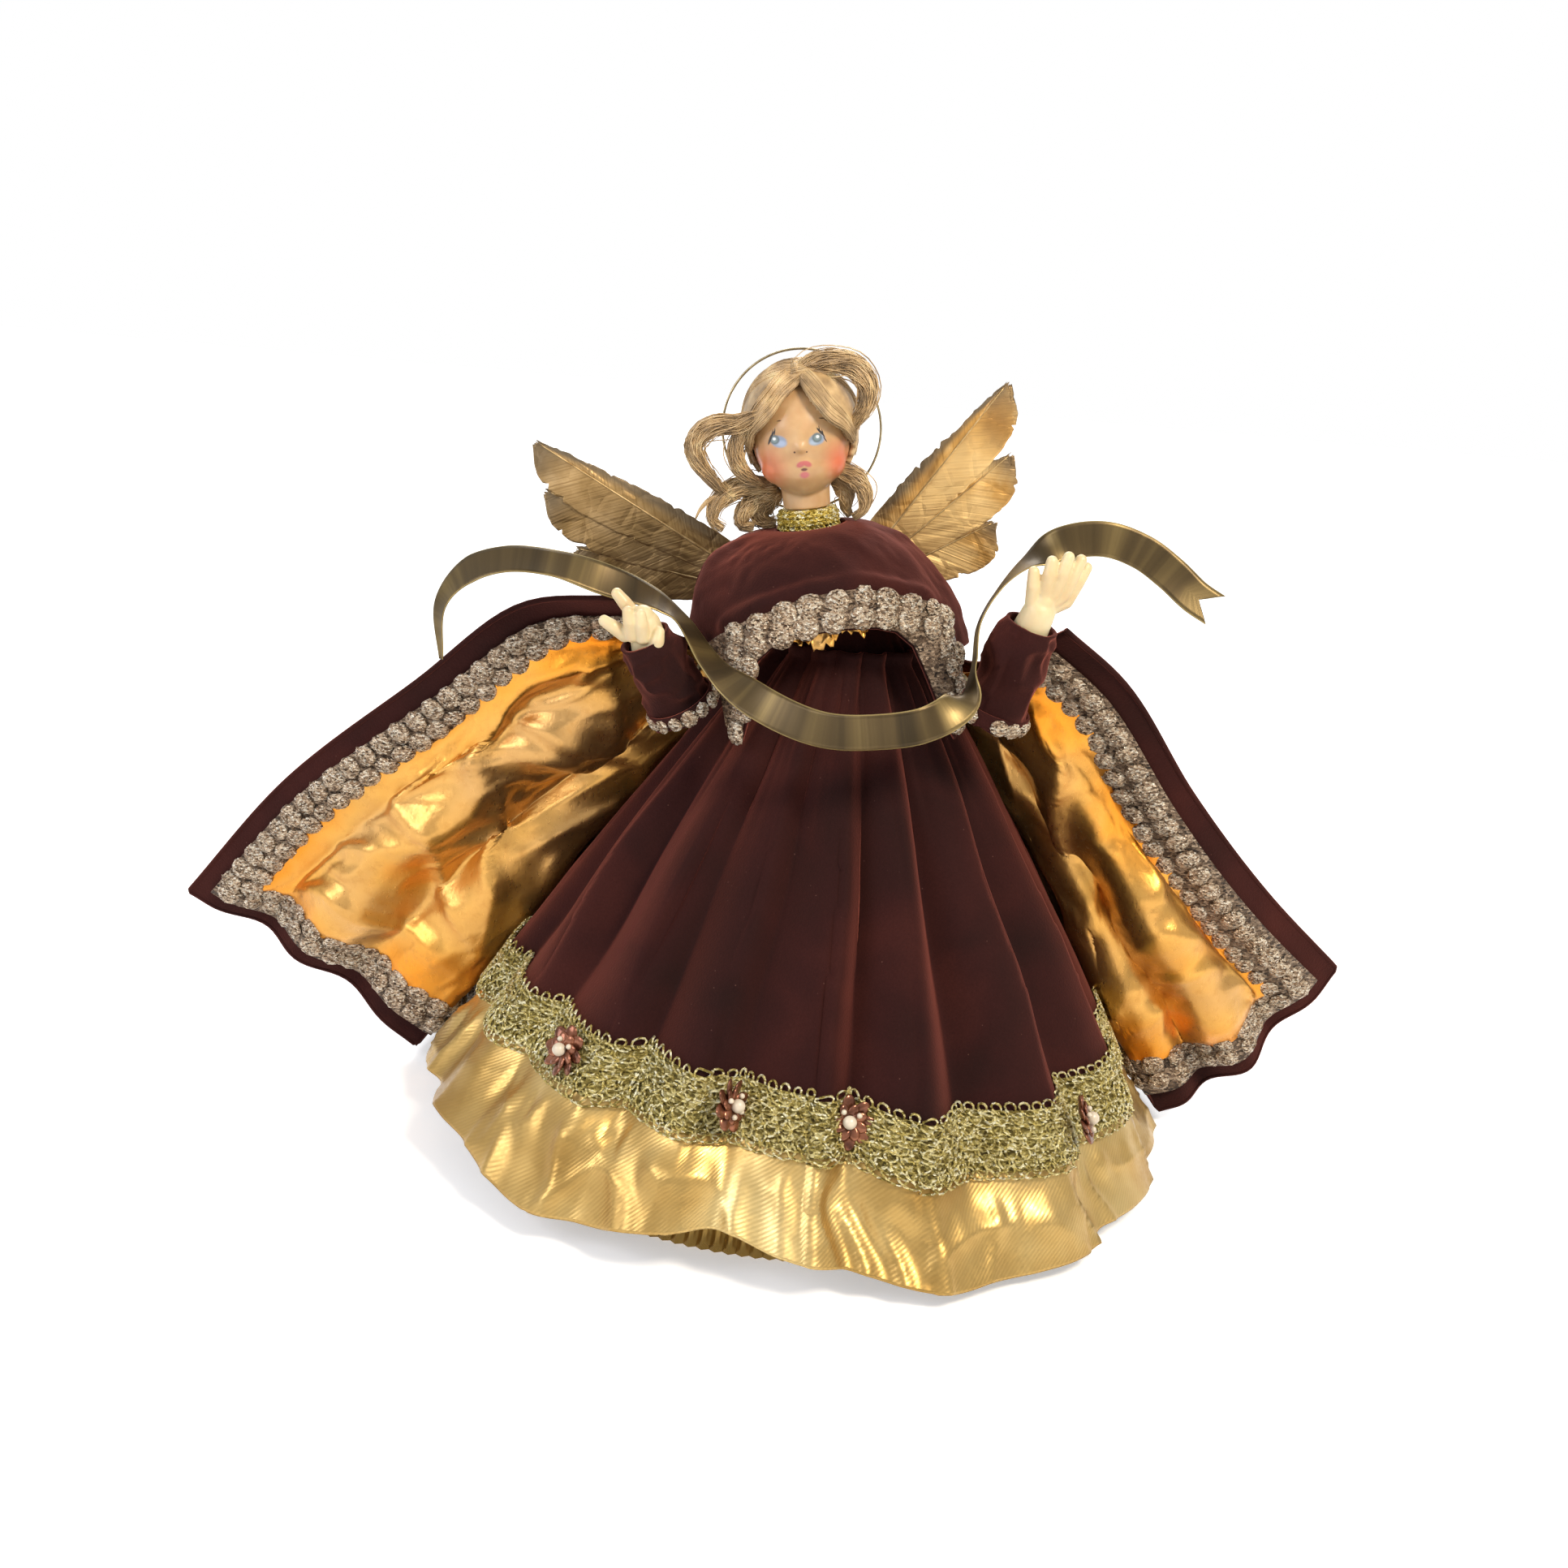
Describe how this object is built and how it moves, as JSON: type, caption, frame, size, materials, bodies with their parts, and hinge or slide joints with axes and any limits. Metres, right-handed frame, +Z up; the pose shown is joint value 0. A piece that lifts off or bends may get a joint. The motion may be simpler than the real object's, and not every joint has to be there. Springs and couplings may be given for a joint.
{
  "type": "angel tree topper",
  "caption": "Angel doll in a velvet gown and foil-lined cape on a hollow cone that slips over a tree tip; the head turns and the wings tilt.",
  "frame": {"origin": "middle of the whole outline, on the plane of the cone rim that the topper stands on", "axes": "+Z up, the doll faces -Y, +X to the right as seen from the front"},
  "size_m": [0.4342, 0.2781, 0.2798],
  "materials": {
    "cone_board": "card faced with crinkled gold foil",
    "cap_wood": "plain turned wood",
    "body_paper": "moulded paper pulp, matt",
    "velvet": "dark burgundy velvet pile",
    "lame": "pale gold twill lame with pressed wrinkles",
    "lace": "metallic gold-green thread lace",
    "petal": "brown copper translucent petals in gold wire",
    "pearl": "pearl lustre",
    "foil_cloth": "crinkled orange-gold foil cloth",
    "gimp": "rosettes of brown-silver metal thread",
    "wax_face": "tinted wax with painted features",
    "wax_hands": "ivory wax, soft sheen",
    "mohair": "blond mohair locks",
    "gold_braid": "bright gold wire braid",
    "wire": "aged brass wire",
    "gilt_feather": "gilded feather",
    "ribbon": "olive brass satin ribbon"
  },
  "bodies": {
    "body": {"base_cone": "cone_board", "cone_cap": "cap_wood", "torso": "body_paper", "bodice": "velvet", "skirt_velvet": "velvet", "hem_band": "lame", "lace_braid": "lace", "brooch_flower_1": "petal", "brooch_flower_2": "petal", "brooch_flower_3": "petal", "brooch_flower_4": "petal", "brooch_pearl_1": "pearl", "brooch_pearl_2": "pearl", "brooch_pearl_3": "pearl", "brooch_pearl_4": "pearl", "mantle_velvet": "velvet", "mantle_lining": "foil_cloth", "mantle_trim": "gimp", "capelet_velvet": "velvet", "capelet_lining": "foil_cloth", "capelet_trim": "gimp", "arm_wire_left": "wire", "sleeve_left": "velvet", "sleeve_trim_left": "gimp", "hand_left": "wax_hands", "arm_wire_right": "wire", "sleeve_right": "velvet", "sleeve_trim_right": "gimp", "hand_right": "wax_hands", "ribbon": "ribbon", "neck_peg": "cap_wood", "collar_braid": "gold_braid"},
    "head": {"head_wax": "wax_face", "hair_cap": "mohair", "hair_loop_right": "mohair", "hair_loop_left": "mohair", "hair_curl_left_1": "mohair", "hair_curl_left_2": "mohair", "hair_curl_right_1": "mohair", "hair_bang_left": "mohair", "hair_bang_right": "mohair", "halo_ring": "wire"},
    "wing_left": {"wing_left_feather_1": "gilt_feather", "wing_left_feather_2": "gilt_feather", "wing_left_feather_3": "gilt_feather", "wing_left_foil": "foil_cloth", "wing_left_pin": "wire"},
    "wing_right": {"wing_right_feather_1": "gilt_feather", "wing_right_feather_2": "gilt_feather", "wing_right_feather_3": "gilt_feather", "wing_right_foil": "foil_cloth", "wing_right_pin": "wire"}
  },
  "joints": [
    {"name": "head_turn", "type": "hinge", "parent": "body", "child": "head", "pos_m": [0.00501, -0.00999, 0.214], "axis": [-0.1736, 0, 0.9848], "range_deg": [-20, 20]},
    {"name": "wing_left_raise", "type": "hinge", "parent": "body", "child": "wing_left", "pos_m": [-0.00299, 0.02801, 0.18601], "axis": [0, 1, 0], "range_deg": [-10, 15]},
    {"name": "wing_right_raise", "type": "hinge", "parent": "body", "child": "wing_right", "pos_m": [0.01605, 0.02801, 0.18797], "axis": [0, -1, 0], "range_deg": [-10, 15]}
  ]
}
